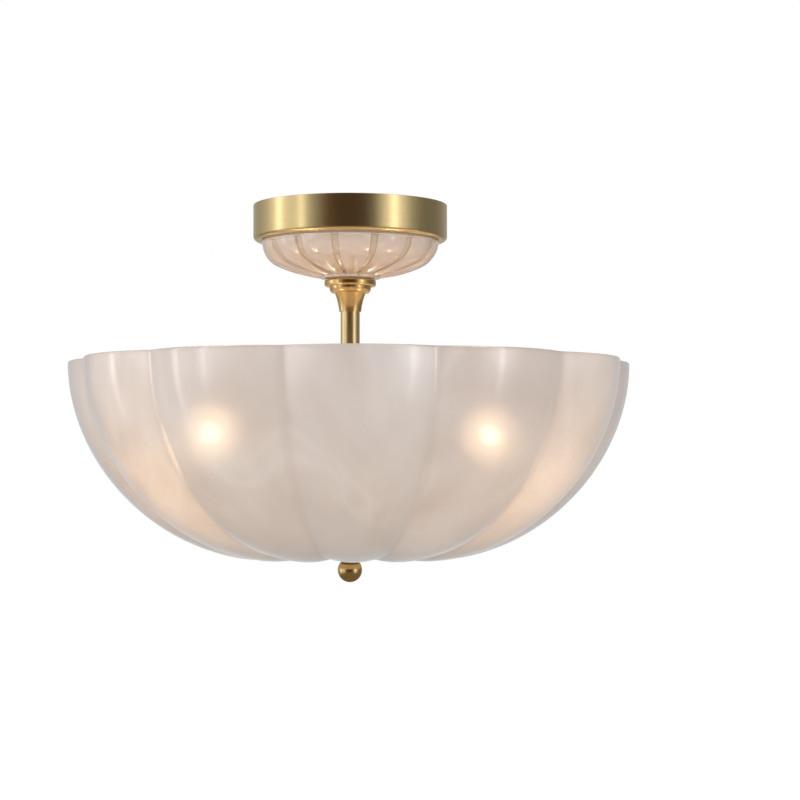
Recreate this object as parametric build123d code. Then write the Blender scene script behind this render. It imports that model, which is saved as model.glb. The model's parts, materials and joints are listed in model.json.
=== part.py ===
from build123d import *
import math
import os

# Semi-flush ceiling light with a lobed glass bowl, in millimetres.
# The origin is the centre of the ceiling plane and +Z is up, so every piece hangs below z = 0.
# It is seen from -Y. Angles of lobes and arms count from -Y towards +X.

# Canopy band and its return lip
BAND_RADIUS = 71.0
BAND_HEIGHT = 26.0
PAN_WALL = 1.2
BAND_EDGE_RADIUS = 3.0
LIP_BORE_RADIUS = 58.0

# Ribbed glass dish under the band
DISH_RADIUS = 65.0
DISH_DEPTH = 26.8
DISH_WALL = 4.6
DISH_RIM_HEIGHT = 1.3
DISH_RIM_PROUD = 0.3
DISH_LOBES = 14
DISH_CHANNEL_WIDTH = 4.7
DISH_CHANNEL_DEPTH = 2.4
DISH_LOBE_STEP = 0.7
DISH_FLAT_RADIUS = 14.0
DISH_SEAT_RADIUS = 22.0
DISH_SPIGOT_HEIGHT = 2.0
DISH_SPIGOT_WALL = 3.0
DISH_END_SHARE = 0.7
CANOPY_GASKET = 0.8
GASKET_INSET = 1.0

# Collar ring, its washer and the turned coupler that it screws on
COLLAR_RADIUS = 18.85
COLLAR_HEIGHT = 5.1
COLLAR_WASHER = 0.7
COLLAR_THREAD_RADIUS = 15.6
COLLAR_EDGE_RADIUS = 1.53
COUPLER_HEAD = 14.0
STEP_TOP_RADIUS = 15.3
STEP_LOW_RADIUS = 12.6
STEP_HEIGHT = 4.9
STEP_BULGE_ACROSS = 0.8
STEP_BULGE_DOWN = 0.6
CONE_TOP_RADIUS = 11.25
CONE_LOW_RADIUS = 8.05
CONE_HEIGHT = 13.5
CONE_HOLLOW = 0.5

# Stem, hub and the plates on it
STEM_RADIUS = 7.0
STEM_WALL = 1.5
STEM_SHOWN = 72.2
STEM_SOCKET = 11.0
HUB_RADIUS = 23.0
HUB_CAVITY_RADIUS = 16.0
HUB_HEIGHT = 34.0
HUB_TOP_WALL = 8.0
HUB_COVER = 6.0
HUB_EDGE_RADIUS = 3.2
COVER_EDGE_RADIUS = 1.8
HUB_SCREW_CIRCLE = 19.5
HUB_SCREW_RADIUS = 1.5
HUB_SCREW_DEPTH = 8.0
HUB_SCREW_HEAD = 1.6
ARM_DEPTH = 20.0

# Threaded tube, nuts and sleeve between the ceiling bracket and the finial
TUBE_RADIUS = 5.0
TUBE_BORE_RADIUS = 3.75
NUT_FLATS = 14.0
NUT_HEIGHT = 4.0
SLEEVE_LENGTH = 53.5
SLEEVE_RADIUS = 7.0
TUBE_IN_COVER = 5.0
THREAD_PROUD = 1.0
NIPPLE_STOP = 4.0

# Ceiling bracket: a joggled steel strip with two slots
BRACKET_WIDTH = 28.0
BRACKET_THICKNESS = 2.0
BRACKET_HALF_LENGTH = 62.0
BRACKET_FLAT = 34.0
BRACKET_RAMP = 10.0
BRACKET_DROP = 14.0
SLOT_SPACING = 104.0
SLOT_WIDTH = 5.0
SLOT_LENGTH = 12.0
BEND_RADIUS = 1.0
TAB_CORNER_RADIUS = 8.4

# Wiring in the canopy, stem and hub
BLOCK_LENGTH = 23.0
BLOCK_WIDTH = 17.0
BLOCK_HEIGHT = 12.0
BLOCK_START = 10.0
BLOCK_CORNER_RADIUS = 1.5
POLES = 3
POLE_PITCH = 7.5
WELL_DEPTH = 4.5
CLAMP_SCREW = 3.0
LEAD_RADIUS = 1.1
LEAD_OFFSET = 1.3
LEAD_RISE = 2.5
LEAD_EDGE_GAP = 3.0
LEAD_BEND = 3.0
SCREW_RADIUS = 2.0
SCREW_HEAD_RADIUS = 3.6
SCREW_HEAD = 2.4
SCREW_SLOT = 0.8
SCREW_TAIL = 3.0
WASHER_THICKNESS = 0.8
EARTH_SCREW_X = 20.0
EARTH_SCREW_Y = -8.0
CONNECTOR_FLATS = 14.0
CONNECTOR_HEIGHT = 22.0
HOLDER_LEAD_RADIUS = 0.9
HOLDER_LEAD_PITCH = 2.6

# Lamp holders and bulbs, along each arm from the stem axis
ARMS = 3
ARM_TURN = 60.0
ARM_RADIUS = 5.0
ARM_BORE_RADIUS = 3.5
ARM_IN_HUB = 5.0
ARM_IN_SHELL = 2.8
BULB_REACH = 115.0
GLOBE_RADIUS = 22.5
GLOBE_WALL = 1.4
GLOBE_NECK_RADIUS = 13.4
HOUSING_LENGTH = 13.0
HOUSING_FOOT = 1.2
HOUSING_WAIST = 0.45
HOUSING_HOLLOW = 0.6
HOUSING_SPIGOT = 10.0
CAP_RADIUS = 6.95
CAP_LENGTH = 20.0
CAP_WALL = 0.5
CAP_TIP = 2.5
BUTTON_HEIGHT = 1.5
BUTTON_RADIUS = 2.6
BUTTON_TIP_RADIUS = 1.82
CAP_TIP_FLARE = 0.6
CAP_FLOOR = 1.0
BOARD_THICKNESS = 1.2
CHIPS = 6
CHIP_SIDE = 3.0
CHIP_HEIGHT = 0.8
CHIP_CIRCLE_SHARE = 0.6
SHELL_RADIUS = 13.5
SHELL_WALL = 1.4
SHELL_BACK = 14.0
SHELL_LIP = 1.0
SHELL_FLOOR = 3.5
SHELL_SHOULDER = 5.0
SHELL_SHOULDER_CUT = 1.5
CORE_RADIUS = 11.6
CORE_FLOOR = 3.0
CORE_THICKNESS = 7.0
CORE_SHORT = 3.0
THREAD_WALL = 0.5
THREAD_FOOT = 2.0
THREAD_SHORT = 2.0
TONGUE_RADIUS = 3.2
TONGUE_SHOULDER_RADIUS = 2.4
TONGUE_TIP_RADIUS = 1.6
TONGUE_DOME = 1.0

# Lobed glass bowl
BOWL_RADIUS = 205.0
BOWL_DEPTH = 144.1
BOWL_WALL = 5.5
BOWL_LOBES = 12
BOWL_TURN = 2.0
BOWL_GROOVE = 9.0
BOWL_GROOVE_LOW = 2.6
BOWL_FOOT_RADIUS = 61.0
BOWL_DIMPLE = 4.0
BOWL_RIM_CHAMFER = 1.4
BOWL_SEAT_RADIUS = 19.0
BOWL_HOLE_GAP = 0.5
BOWL_CURVE_POWER = 1.9
BOWL_CURVE_STEPS = 6
BOWL_FLOOR_SHARES = (0.33, 0.66)
SEAT_GRIND = 0.4
SEAT_GRIND_INSET = 1.0
HOLE_STOCK = 1.0

# Washers, gaskets and the ball under the bowl
TOP_GASKET = 1.0
TOP_WASHER = 1.5
TOP_WASHER_RADIUS = 17.5
LOW_GASKET = 0.9
LOW_WASHER = 1.2
LOW_WASHER_RADIUS = 12.0
BALL_RADIUS = 8.9
BALL_NECK_RADIUS = 6.5
BALL_NECK = 2.4
TUBE_IN_BALL = 7.9

# Clearances: threads and running fits, pieces that slide past, and plain holes
THREAD_GAP = 0.05
RUN_GAP = 0.1
SLIDE_GAP = 0.6
HOLE_GAP = 0.25
REST_GAP = 0.2
END_GAP = 1.0

# Heights worked out from the sizes above, from the ceiling down
PAN_BOTTOM = -BAND_HEIGHT
DISH_TOP = PAN_BOTTOM - CANOPY_GASKET
DISH_SEAT = DISH_TOP - DISH_DEPTH
COLLAR_TOP = DISH_SEAT - COLLAR_WASHER
COLLAR_LOW = COLLAR_TOP - COLLAR_HEIGHT
STEP_LOW = COLLAR_LOW - STEP_HEIGHT
CONE_LOW = STEP_LOW - CONE_HEIGHT
HUB_TOP = CONE_LOW - STEM_SHOWN
HUB_LOW = HUB_TOP - HUB_HEIGHT
COVER_LOW = HUB_LOW - HUB_COVER
CONNECTOR_TOP = HUB_LOW + CONNECTOR_HEIGHT
ARM_HEIGHT = HUB_TOP - ARM_DEPTH
SLEEVE_LOW = COVER_LOW - SLEEVE_LENGTH
TOP_NUT_LOW = SLEEVE_LOW - NUT_HEIGHT
TOP_WASHER_LOW = TOP_NUT_LOW - TOP_WASHER
BOWL_SEAT_TOP = TOP_WASHER_LOW - TOP_GASKET
BOWL_SEAT_LOW = BOWL_SEAT_TOP - BOWL_WALL
BOWL_FOOT = BOWL_SEAT_LOW - BOWL_DIMPLE
BOWL_RIM = BOWL_FOOT + BOWL_DEPTH
LOW_GASKET_LOW = BOWL_SEAT_LOW - LOW_GASKET
LOW_WASHER_LOW = LOW_GASKET_LOW - LOW_WASHER
BALL_CENTRE = LOW_WASHER_LOW - BALL_RADIUS
TUBE_END = LOW_WASHER_LOW - TUBE_IN_BALL
STRIP_TOP = -BRACKET_DROP
STRIP_LOW = STRIP_TOP - BRACKET_THICKNESS
BLOCK_MIDDLE = STRIP_LOW - BLOCK_HEIGHT / 2
COUPLER_TOP = COLLAR_LOW + COUPLER_HEAD
NIPPLE_TOP = STRIP_TOP + NUT_HEIGHT + THREAD_PROUD
NIPPLE_LOW = STEP_LOW + NIPPLE_STOP
STEM_TOP = CONE_LOW + STEM_SOCKET
STEM_LOW = HUB_TOP - HUB_TOP_WALL

# Distances along an arm worked out from the bulb's reach
GLOBE_NECK = BULB_REACH - math.sqrt(GLOBE_RADIUS**2 - GLOBE_NECK_RADIUS**2)
CAP_FRONT = GLOBE_NECK - HOUSING_LENGTH
CAP_BACK = CAP_FRONT - CAP_LENGTH
BUTTON_FRONT = CAP_BACK - CAP_TIP
CONTACT_FACE = BUTTON_FRONT - BUTTON_HEIGHT
CORE_FACE = CONTACT_FACE - CORE_FLOOR
SHELL_START = CONTACT_FACE - SHELL_BACK
SHELL_END = CAP_FRONT + SHELL_LIP


def turned(outline):
    """Solid of revolution about Z from a sketch drawn as (radius, height)."""
    return revolve(Plane.XZ * outline, Axis.Z)


def turned_points(*points):
    """Turned solid whose closed outline is straight between (radius, height) points."""
    return turned(make_face(Polyline(*points, close=True)))


def ring(outer, inner, top, low):
    """Flat ring about the stem axis between two heights."""
    return turned_points((inner, top), (outer, top), (outer, low), (inner, low))


def rounded(solid, axis, radius, which):
    """Solid with the round edges of one end group along an axis filleted."""
    edges = solid.edges().filter_by(GeomType.CIRCLE).group_by(axis)[which]
    return fillet(edges.sort_by(SortBy.RADIUS)[-1:], radius)


def at_turn(angle):
    """Rotation about the stem axis that takes the -Y direction to an angle towards +X."""
    return Rot(0, 0, angle)


def along_arm(solid, angle):
    """Place a solid made about local +X from the stem axis on the arm at an angle."""
    return Rot(0, 0, angle - 90) * Pos(0, 0, ARM_HEIGHT) * solid


def lathe_x(outline):
    """Solid of revolution about local X from a sketch drawn as (distance, radius)."""
    return revolve(outline, Axis.X)


def quarter_curve(inner_radius, top, reach, drop, power, steps):
    """Points of a quarter curve that falls from a rim to a foot and turns inwards.

    Radius is inner_radius + reach * cos(t)^(2/power), height is top - drop * sin(t)^(2/power).
    """
    points = []
    for step in range(steps + 1):
        turn = math.pi / 2 * step / steps
        across = reach * max(math.cos(turn), 0.0) ** (2 / power)
        down = drop * math.sin(turn) ** (2 / power)
        points.append((inner_radius + across, top - down))
    return points


def canopy_pan():
    """Drawn brass cup with its open side on the ceiling and a lip turned in below."""
    inner = BAND_RADIUS - PAN_WALL
    floor = PAN_BOTTOM + PAN_WALL
    outline = make_face(
        Polyline(
            (BAND_RADIUS, 0),
            (BAND_RADIUS, PAN_BOTTOM),
            (LIP_BORE_RADIUS, PAN_BOTTOM),
            (LIP_BORE_RADIUS, floor),
            (inner, floor),
            (inner, 0),
            close=True,
        )
    )
    corner = outline.vertices().sort_by_distance((BAND_RADIUS, PAN_BOTTOM))[0]
    outline = fillet(corner, BAND_EDGE_RADIUS)
    corner = outline.vertices().sort_by_distance((inner, floor))[0]
    outline = fillet(corner, BAND_EDGE_RADIUS - PAN_WALL)
    return turned(outline)


def dish_arcs(inset, inset_low):
    """Two tangent arcs down the dish, in from the lobe crown by one distance at the rim, one below.

    The first arc leaves the rim straight down, the second reaches the foot level.
    """
    top = DISH_TOP - DISH_RIM_HEIGHT / 2
    reach = DISH_RADIUS - DISH_FLAT_RADIUS - inset
    drop = top - DISH_SEAT - DISH_LOBE_STEP - inset_low
    small = DISH_END_SHARE * drop
    large = (reach**2 + drop**2 - 2 * reach * small) / (2 * (drop - small))
    small_centre = Vector(DISH_FLAT_RADIUS + reach - small, top)
    large_centre = Vector(DISH_FLAT_RADIUS, top - drop + large)
    rim = Vector(DISH_FLAT_RADIUS + reach, top)
    foot = Vector(DISH_FLAT_RADIUS, top - drop)
    meet = small_centre + (small_centre - large_centre).normalized() * small
    upper = TangentArc(rim, meet, tangent=(0, -1))
    lower = TangentArc(meet, foot, tangent=upper % 1)
    return upper, lower


def dish_section(skin, core):
    """Closed meridian section between an outer and an inner pair of dish arcs."""
    foot = Line(skin[1] @ 1, core[1] @ 1)
    rim = Line(core[0] @ 0, skin[0] @ 0)
    return make_face([*skin, foot, *core, rim])


def canopy_glass():
    """Glass dish: turned body with plain rim, spigot and seat, and convex lobes between channels."""
    core_inset = DISH_CHANNEL_DEPTH + DISH_WALL / 3
    inner_inset = DISH_CHANNEL_DEPTH + DISH_WALL
    edge_inset = DISH_CHANNEL_DEPTH - DISH_LOBE_STEP
    floor = dish_arcs(DISH_CHANNEL_DEPTH, DISH_CHANNEL_DEPTH)
    core = dish_arcs(core_inset, core_inset)
    body = turned(dish_section(floor, dish_arcs(inner_inset, inner_inset)))
    spigot = LIP_BORE_RADIUS - SLIDE_GAP
    rim_low = DISH_TOP - DISH_RIM_HEIGHT
    rim = ring(DISH_RADIUS + DISH_RIM_PROUD, spigot - DISH_SPIGOT_WALL, DISH_TOP, rim_low)
    upstand = ring(spigot, spigot - DISH_SPIGOT_WALL, PAN_BOTTOM + DISH_SPIGOT_HEIGHT, rim_low)
    hole = COLLAR_THREAD_RADIUS + SLIDE_GAP
    seat = ring(DISH_SEAT_RADIUS, hole, DISH_SEAT + inner_inset, DISH_SEAT)
    channel_angle = math.degrees(DISH_CHANNEL_WIDTH / DISH_RADIUS)
    half_lobe = (360 / DISH_LOBES - channel_angle) / 2
    crown = Plane.XZ * dish_section(dish_arcs(0, 0), core)
    edge = Plane.XZ * dish_section(dish_arcs(edge_inset, edge_inset), core)
    lobe = loft([Rot(0, 0, -half_lobe) * edge, crown, Rot(0, 0, half_lobe) * edge])
    lobes = [Rot(0, 0, 360 / DISH_LOBES * count - 90) * lobe for count in range(DISH_LOBES)]
    glass = body + rim + upstand + seat + lobes
    return glass - Pos(0, 0, DISH_SEAT) * Cylinder(hole, 4 * DISH_WALL)


def canopy_gasket():
    """Flat ring between the pan's lip and the dish."""
    return ring(DISH_RADIUS - GASKET_INSET, LIP_BORE_RADIUS, PAN_BOTTOM, DISH_TOP)


def collar_washer():
    """Fibre washer between the dish and the collar ring."""
    return ring(COLLAR_RADIUS - GASKET_INSET, COLLAR_THREAD_RADIUS + SLIDE_GAP, DISH_SEAT, COLLAR_TOP)


def collar_ring():
    """Round nut with soft edges that holds the canopy up, free to slide over the coupler."""
    nut = ring(COLLAR_RADIUS, COLLAR_THREAD_RADIUS + RUN_GAP, COLLAR_TOP, COLLAR_LOW)
    nut = rounded(nut, Axis.Z, COLLAR_EDGE_RADIUS, 0)
    return rounded(nut, Axis.Z, COLLAR_EDGE_RADIUS, -1)


def stem_coupler():
    """Turned brass piece: threaded head, quarter-round step and hollow-sided cone."""
    stem_bore = STEM_RADIUS + THREAD_GAP
    nipple_bore = TUBE_RADIUS + THREAD_GAP
    through = TUBE_BORE_RADIUS + HOLE_GAP
    step_low = (STEP_LOW_RADIUS, STEP_LOW)
    step_top = (STEP_TOP_RADIUS, COLLAR_LOW)
    step_middle = (
        STEP_LOW_RADIUS + (STEP_TOP_RADIUS - STEP_LOW_RADIUS) * STEP_BULGE_ACROSS,
        COLLAR_LOW - STEP_HEIGHT * STEP_BULGE_DOWN,
    )
    cone_middle = ((CONE_TOP_RADIUS + CONE_LOW_RADIUS) / 2 - CONE_HOLLOW, (STEP_LOW + CONE_LOW) / 2)
    outline = [
        Line((nipple_bore, COUPLER_TOP), (COLLAR_THREAD_RADIUS, COUPLER_TOP)),
        Line((COLLAR_THREAD_RADIUS, COUPLER_TOP), (COLLAR_THREAD_RADIUS, COLLAR_LOW)),
        Line((COLLAR_THREAD_RADIUS, COLLAR_LOW), step_top),
        ThreePointArc(step_top, step_middle, step_low),
        Line(step_low, (CONE_TOP_RADIUS, STEP_LOW)),
        ThreePointArc((CONE_TOP_RADIUS, STEP_LOW), cone_middle, (CONE_LOW_RADIUS, CONE_LOW)),
        Line((CONE_LOW_RADIUS, CONE_LOW), (stem_bore, CONE_LOW)),
        Line((stem_bore, CONE_LOW), (stem_bore, STEM_TOP)),
        Line((stem_bore, STEM_TOP), (through, STEM_TOP)),
        Line((through, STEM_TOP), (through, NIPPLE_LOW)),
        Line((through, NIPPLE_LOW), (nipple_bore, NIPPLE_LOW)),
        Line((nipple_bore, NIPPLE_LOW), (nipple_bore, COUPLER_TOP)),
    ]
    return turned(make_face(outline))


def stem_tube():
    """Brass tube from the coupler down into the hub."""
    return ring(STEM_RADIUS, STEM_RADIUS - STEM_WALL, STEM_TOP, STEM_LOW)


def hub_body():
    """Turned hub, open below, with a stem hole, three arm holes and three screw holes."""
    hub = ring(HUB_RADIUS, STEM_RADIUS + THREAD_GAP, HUB_TOP, HUB_LOW)
    hub = rounded(hub, Axis.Z, HUB_EDGE_RADIUS, -1)
    cavity_height = HUB_HEIGHT - HUB_TOP_WALL
    hub -= Pos(0, 0, HUB_LOW + cavity_height / 2) * Cylinder(HUB_CAVITY_RADIUS, cavity_height)
    for arm in range(ARMS):
        bore = Rot(0, 90, 0) * Cylinder(ARM_RADIUS + THREAD_GAP, 2 * HUB_RADIUS)
        hub -= along_arm(Pos(HUB_RADIUS, 0, 0) * bore, arm_angle(arm))
        screw = Cylinder(HUB_SCREW_RADIUS + THREAD_GAP, 2 * HUB_SCREW_DEPTH)
        hub -= screw_place(arm) * Pos(0, 0, HUB_LOW) * screw
    return hub


def arm_angle(arm):
    """Angle of one arm from -Y towards +X."""
    return ARM_TURN + 360 / ARMS * arm


def screw_place(arm):
    """Place on the hub's screw circle half way between two arms."""
    return at_turn(arm_angle(arm) + 180 / ARMS) * Pos(0, -HUB_SCREW_CIRCLE, 0)


def hub_cover():
    """Round plate that closes the hub and carries the lower threaded tube."""
    cover = ring(HUB_RADIUS, TUBE_RADIUS + THREAD_GAP, HUB_LOW, COVER_LOW)
    cover = rounded(cover, Axis.Z, COVER_EDGE_RADIUS, 0)
    for arm in range(ARMS):
        hole = Cylinder(HUB_SCREW_RADIUS + THREAD_GAP, 3 * HUB_COVER)
        head = Cylinder(2 * HUB_SCREW_RADIUS + HOLE_GAP, 2 * HUB_SCREW_HEAD)
        cover -= screw_place(arm) * Pos(0, 0, COVER_LOW) * (hole + head)
    return cover


def hub_screws():
    """Three sunk screws that hold the cover on the hub."""
    screws = []
    for arm in range(ARMS):
        head_top = COVER_LOW + HUB_SCREW_HEAD
        length = HUB_COVER - HUB_SCREW_HEAD + HUB_SCREW_DEPTH - END_GAP
        shank = Pos(0, 0, head_top + length / 2) * Cylinder(HUB_SCREW_RADIUS, length)
        head = Pos(0, 0, head_top - HUB_SCREW_HEAD / 2) * Cylinder(2 * HUB_SCREW_RADIUS, HUB_SCREW_HEAD)
        screws.append(screw_place(arm) * (shank + head))
    return Compound(children=screws)


def nut(low):
    """Hexagon nut on the threaded tube, standing on a height."""
    body = extrude(RegularPolygon(NUT_FLATS / 2, 6, major_radius=False), NUT_HEIGHT)
    body -= Cylinder(TUBE_RADIUS + THREAD_GAP, 4 * NUT_HEIGHT)
    return Pos(0, 0, low) * body


def lock_nuts():
    """Nuts above and below the bracket, on the coupler and on the bowl's washer."""
    lows = [STRIP_TOP, STRIP_LOW - NUT_HEIGHT, COUPLER_TOP, TOP_NUT_LOW]
    return Compound(children=[nut(low) for low in lows])


def ceiling_bracket():
    """Joggled strip: end tabs on the ceiling, flat middle below them, slots, holes and round ends."""
    slope = math.atan2(BRACKET_DROP, BRACKET_RAMP)
    shift = BRACKET_THICKNESS * math.tan(slope / 2)
    knee = BRACKET_FLAT + BRACKET_RAMP
    right = [(BRACKET_HALF_LENGTH, 0), (knee, 0), (BRACKET_FLAT, STRIP_TOP)]
    under = [
        (BRACKET_FLAT + shift, STRIP_LOW),
        (knee + shift, -BRACKET_THICKNESS),
        (BRACKET_HALF_LENGTH, -BRACKET_THICKNESS),
    ]
    top_line = right + [(-x, z) for x, z in reversed(right)]
    low_line = [(-x, z) for x, z in reversed(under)] + under
    strip_section = make_face(Polyline(*top_line, *low_line, close=True))
    corners = strip_section.vertices().filter_by(lambda v: abs(v.X) < BRACKET_HALF_LENGTH - BEND_RADIUS)
    strip_section = fillet(corners, BEND_RADIUS)
    strip = extrude(Plane.XZ * strip_section, BRACKET_WIDTH / 2, both=True)
    plan = RectangleRounded(2 * BRACKET_HALF_LENGTH, BRACKET_WIDTH, TAB_CORNER_RADIUS)
    strip &= extrude(plan, 2 * STRIP_LOW, both=True)
    strip -= Cylinder(TUBE_RADIUS + HOLE_GAP, -4 * STRIP_LOW)
    for side in (-1, 1):
        slot = extrude(SlotOverall(SLOT_LENGTH, SLOT_WIDTH), STRIP_LOW, both=True)
        strip -= Pos(side * SLOT_SPACING / 2, 0, 0) * slot
    earth = Cylinder(SCREW_RADIUS + THREAD_GAP, -4 * STRIP_LOW)
    strip -= Pos(EARTH_SCREW_X, EARTH_SCREW_Y, 0) * earth
    return strip


def earth_screw():
    """Pan-head screw with its washer, driven up into the strip from below."""
    washer = Pos(0, 0, STRIP_LOW - WASHER_THICKNESS / 2) * Cylinder(2 * SCREW_RADIUS, WASHER_THICKNESS)
    head_low = STRIP_LOW - WASHER_THICKNESS - SCREW_HEAD
    head = Pos(0, 0, head_low + SCREW_HEAD / 2) * Cylinder(SCREW_HEAD_RADIUS, SCREW_HEAD)
    head -= Pos(0, 0, head_low) * Box(4 * SCREW_RADIUS, SCREW_SLOT, SCREW_HEAD)
    length = BRACKET_THICKNESS + SCREW_TAIL
    shank = Pos(0, 0, STRIP_LOW + length / 2) * Cylinder(SCREW_RADIUS, length)
    return Pos(EARTH_SCREW_X, EARTH_SCREW_Y, 0) * (washer + head + shank)


def mounting_nipple():
    """Upper threaded tube between the bracket and the coupler."""
    return ring(TUBE_RADIUS, TUBE_BORE_RADIUS, NIPPLE_TOP, NIPPLE_LOW)


def lower_rod():
    """Lower threaded tube from the hub cover through the bowl into the ball."""
    return ring(TUBE_RADIUS, TUBE_BORE_RADIUS, COVER_LOW + TUBE_IN_COVER, TUBE_END)


def rod_sleeve():
    """Plain brass sleeve over the lower tube, from the cover to the nut above the bowl."""
    return ring(SLEEVE_RADIUS, TUBE_RADIUS + HOLE_GAP, COVER_LOW, SLEEVE_LOW)


def pole_x(pole):
    """Place of one terminal along the strip."""
    middle = -(BLOCK_START + BLOCK_LENGTH / 2)
    return middle + POLE_PITCH * (1 - pole)


def terminal_block():
    """Three-pole terminal block under the strip with wire holes through it and screw wells."""
    block = Box(BLOCK_LENGTH, BLOCK_WIDTH, BLOCK_HEIGHT)
    block = Pos(-(BLOCK_START + BLOCK_LENGTH / 2), 0, BLOCK_MIDDLE) * block
    block = fillet(block.edges().filter_by(Axis.Z), BLOCK_CORNER_RADIUS)
    for pole in range(POLES):
        for side in (-1, 1):
            well = Cylinder(SCREW_RADIUS + HOLE_GAP, 2 * WELL_DEPTH)
            block -= Pos(pole_x(pole), side * BLOCK_WIDTH / 4, STRIP_LOW - BLOCK_HEIGHT) * well
        mains_side = 1 if pole == POLES - 1 else -1
        entry = Rot(90, 0, 0) * Cylinder(LEAD_RADIUS + HOLE_GAP, BLOCK_WIDTH / 4)
        block -= Pos(pole_x(pole), mains_side * BLOCK_WIDTH / 2, BLOCK_MIDDLE) * entry
    return block


def terminal_screws():
    """Two clamp screws a pole, at the bottom of the block's wells."""
    top = STRIP_LOW - BLOCK_HEIGHT + WELL_DEPTH
    screw = Pos(0, 0, top - CLAMP_SCREW / 2) * Cylinder(SCREW_RADIUS, CLAMP_SCREW)
    screw -= Pos(0, 0, top - CLAMP_SCREW) * Box(4 * SCREW_RADIUS, SCREW_SLOT, CLAMP_SCREW / 2)
    screws = []
    for pole in range(POLES):
        for side in (-1, 1):
            screws.append(Pos(pole_x(pole), side * BLOCK_WIDTH / 4, 0) * screw)
    return Compound(children=screws)


def lead(points, radius, bends):
    """Round lead along straight runs joined by arcs of one radius."""
    path = FilletPolyline(*points, radius=bends)
    section = Plane(origin=path @ 0, z_dir=path % 0) * Circle(radius)
    return sweep(section, path=path)


def supply_lead(pole, side):
    """Lead from the hub connector up the stem, over the strip's edge and back into the block."""
    spread = LEAD_OFFSET * side / math.sqrt(2)
    above = NIPPLE_TOP + LEAD_RISE
    edge = BRACKET_WIDTH / 2 + LEAD_EDGE_GAP
    points = [
        (spread, spread, CONNECTOR_TOP),
        (spread, spread, above),
        (pole_x(pole), edge, above),
        (pole_x(pole), edge, BLOCK_MIDDLE),
        (pole_x(pole), BLOCK_WIDTH / 2, BLOCK_MIDDLE),
    ]
    return lead(points, LEAD_RADIUS, LEAD_BEND)


def lead_earth():
    """Lead from the third pole round the lower nut to the earth screw."""
    last = pole_x(POLES - 1)
    wide = BLOCK_WIDTH / 2 + 2 * LEAD_BEND
    under = STRIP_LOW - WASHER_THICKNESS - SCREW_HEAD / 2
    turn = Vector(NUT_FLATS / 2, -wide, under)
    screw = Vector(EARTH_SCREW_X, EARTH_SCREW_Y, under)
    points = [
        (last, -BLOCK_WIDTH / 2, BLOCK_MIDDLE),
        (last, -wide, BLOCK_MIDDLE),
        (-BLOCK_START, -wide, BLOCK_MIDDLE),
        turn,
        screw - (screw - turn).normalized() * SCREW_HEAD_RADIUS,
    ]
    return lead(points, LEAD_RADIUS, LEAD_BEND)


def hub_connector():
    """Six-sided junction block standing on the hub cover, one flat towards each arm."""
    block = extrude(RegularPolygon(CONNECTOR_FLATS / 2, 6, major_radius=False), CONNECTOR_HEIGHT)
    block = Rot(0, 0, ARM_TURN) * Pos(0, 0, HUB_LOW) * block
    return block


def holder_leads():
    """Pairs of leads from the junction block through each arm to the holder's core."""
    leads = []
    for arm in range(ARMS):
        for side in (-1, 1):
            start = CONNECTOR_FLATS / 2
            length = CORE_FACE - CORE_THICKNESS - start
            wire = Rot(0, 90, 0) * Cylinder(HOLDER_LEAD_RADIUS, length)
            wire = Pos(start + length / 2, 0, side * HOLDER_LEAD_PITCH / 2) * wire
            leads.append(along_arm(wire, arm_angle(arm)))
    return Compound(children=leads)


def holder_arm():
    """Short tube screwed into the hub's side and the back of the holder."""
    start = HUB_RADIUS - ARM_IN_HUB
    end = SHELL_START + ARM_IN_SHELL
    points = [(start, ARM_BORE_RADIUS), (start, ARM_RADIUS), (end, ARM_RADIUS), (end, ARM_BORE_RADIUS)]
    return lathe_x(make_face(Polyline(*points, close=True)))


def holder_shell():
    """Turned cup round the holder's core with a round shoulder, open towards the bulb."""
    back = SHELL_START
    floor = back + SHELL_FLOOR
    inner = SHELL_RADIUS - SHELL_WALL
    shoulder = SHELL_RADIUS - SHELL_SHOULDER
    round_middle = (back + SHELL_SHOULDER_CUT, SHELL_RADIUS - SHELL_SHOULDER_CUT)
    round_end = (back + SHELL_SHOULDER, SHELL_RADIUS)
    bore = ARM_RADIUS + THREAD_GAP
    outline = [
        Line((back, bore), (back, shoulder)),
        ThreePointArc((back, shoulder), round_middle, round_end),
        Line(round_end, (SHELL_END, SHELL_RADIUS)),
        Line((SHELL_END, SHELL_RADIUS), (SHELL_END, inner)),
        Line((SHELL_END, inner), (floor, inner)),
        Line((floor, inner), (floor, bore)),
        Line((floor, bore), (back, bore)),
    ]
    return lathe_x(make_face(outline))


def holder_core():
    """Ceramic core: a thick disc at the back and a sleeve round the screw shell."""
    back = CORE_FACE - CORE_THICKNESS
    bore = CAP_RADIUS + HOLE_GAP + THREAD_WALL + THREAD_GAP
    points = [
        (back, 0),
        (back, CORE_RADIUS),
        (CAP_FRONT - CORE_SHORT, CORE_RADIUS),
        (CAP_FRONT - CORE_SHORT, bore),
        (CORE_FACE, bore),
        (CORE_FACE, 0),
    ]
    return lathe_x(make_face(Polyline(*points, close=True)))


def holder_thread():
    """Screw shell of the holder, a thin tube with a turned-in foot."""
    inner = CAP_RADIUS + HOLE_GAP
    outer = inner + THREAD_WALL
    points = [
        (CORE_FACE, inner - THREAD_FOOT),
        (CORE_FACE, outer),
        (CAP_FRONT - THREAD_SHORT, outer),
        (CAP_FRONT - THREAD_SHORT, inner),
        (CORE_FACE + THREAD_WALL, inner),
        (CORE_FACE + THREAD_WALL, inner - THREAD_FOOT),
    ]
    return lathe_x(make_face(Polyline(*points, close=True)))


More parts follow.
